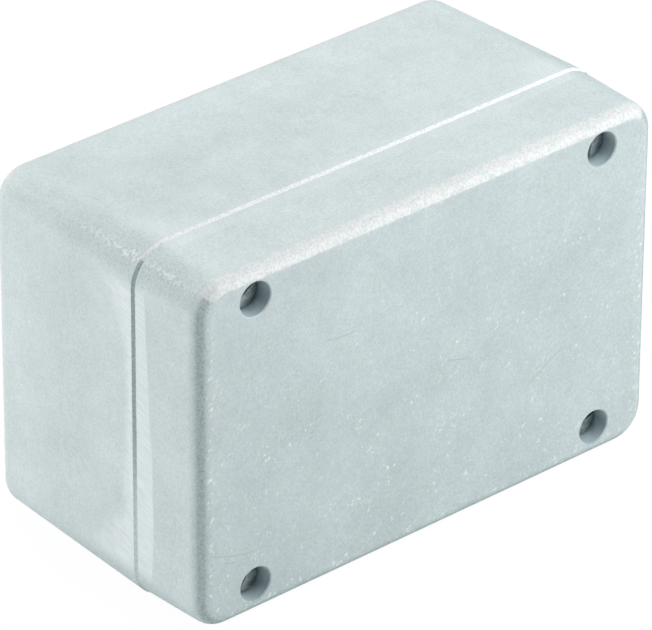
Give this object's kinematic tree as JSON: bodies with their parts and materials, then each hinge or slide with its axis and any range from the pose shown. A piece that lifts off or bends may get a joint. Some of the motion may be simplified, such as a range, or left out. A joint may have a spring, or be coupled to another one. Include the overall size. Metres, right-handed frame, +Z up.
{
  "type": "die cast aluminium enclosure",
  "caption": "sealed cast metal box for electronics: a deep drafted base and a shallower lid joined by a gasket and captive slotted screws sunk in deep counterbores",
  "frame": {"origin": "middle of the underside of the rim that the box stands on, at the foot of its bounding box", "axes": "+X along the box's length, +Y from the lid's face to the fixing face, +Z up with the box standing on its long narrow side"},
  "size_m": [0.125, 0.066, 0.083],
  "materials": {
    "cast_aluminium": "satin as-cast",
    "seal_rubber": "matt",
    "screw_steel": "zinc plated",
    "ring_fibre": "matt",
    "earth_brass": "satin"
  },
  "bodies": {
    "base": {"base": "cast_aluminium", "earth_screw": "earth_brass", "earth_washer": "screw_steel"},
    "lid": {"lid": "cast_aluminium", "gasket": "seal_rubber"},
    "screw_1": {"lid_screw_1": "screw_steel", "retaining_ring_1": "ring_fibre"},
    "screw_2": {"lid_screw_2": "screw_steel", "retaining_ring_2": "ring_fibre"},
    "screw_3": {"lid_screw_3": "screw_steel", "retaining_ring_3": "ring_fibre"},
    "screw_4": {"lid_screw_4": "screw_steel", "retaining_ring_4": "ring_fibre"}
  },
  "joints": [
    {"name": "lid_lift", "type": "slide", "parent": "base", "child": "lid", "axis": [0, -1, 0], "range_m": [0, 0.06]},
    {"name": "screw_1_turn", "type": "hinge", "parent": "lid", "child": "screw_1", "pos_m": [-0.04675, -0.0256, 0.075], "axis": [0, -1, 0], "continuous": true},
    {"name": "screw_2_turn", "type": "hinge", "parent": "lid", "child": "screw_2", "pos_m": [0.04675, -0.0256, 0.075], "axis": [0, -1, 0], "continuous": true},
    {"name": "screw_3_turn", "type": "hinge", "parent": "lid", "child": "screw_3", "pos_m": [0.04675, -0.0256, 0.008], "axis": [0, -1, 0], "continuous": true},
    {"name": "screw_4_turn", "type": "hinge", "parent": "lid", "child": "screw_4", "pos_m": [-0.04675, -0.0256, 0.008], "axis": [0, -1, 0], "continuous": true}
  ]
}
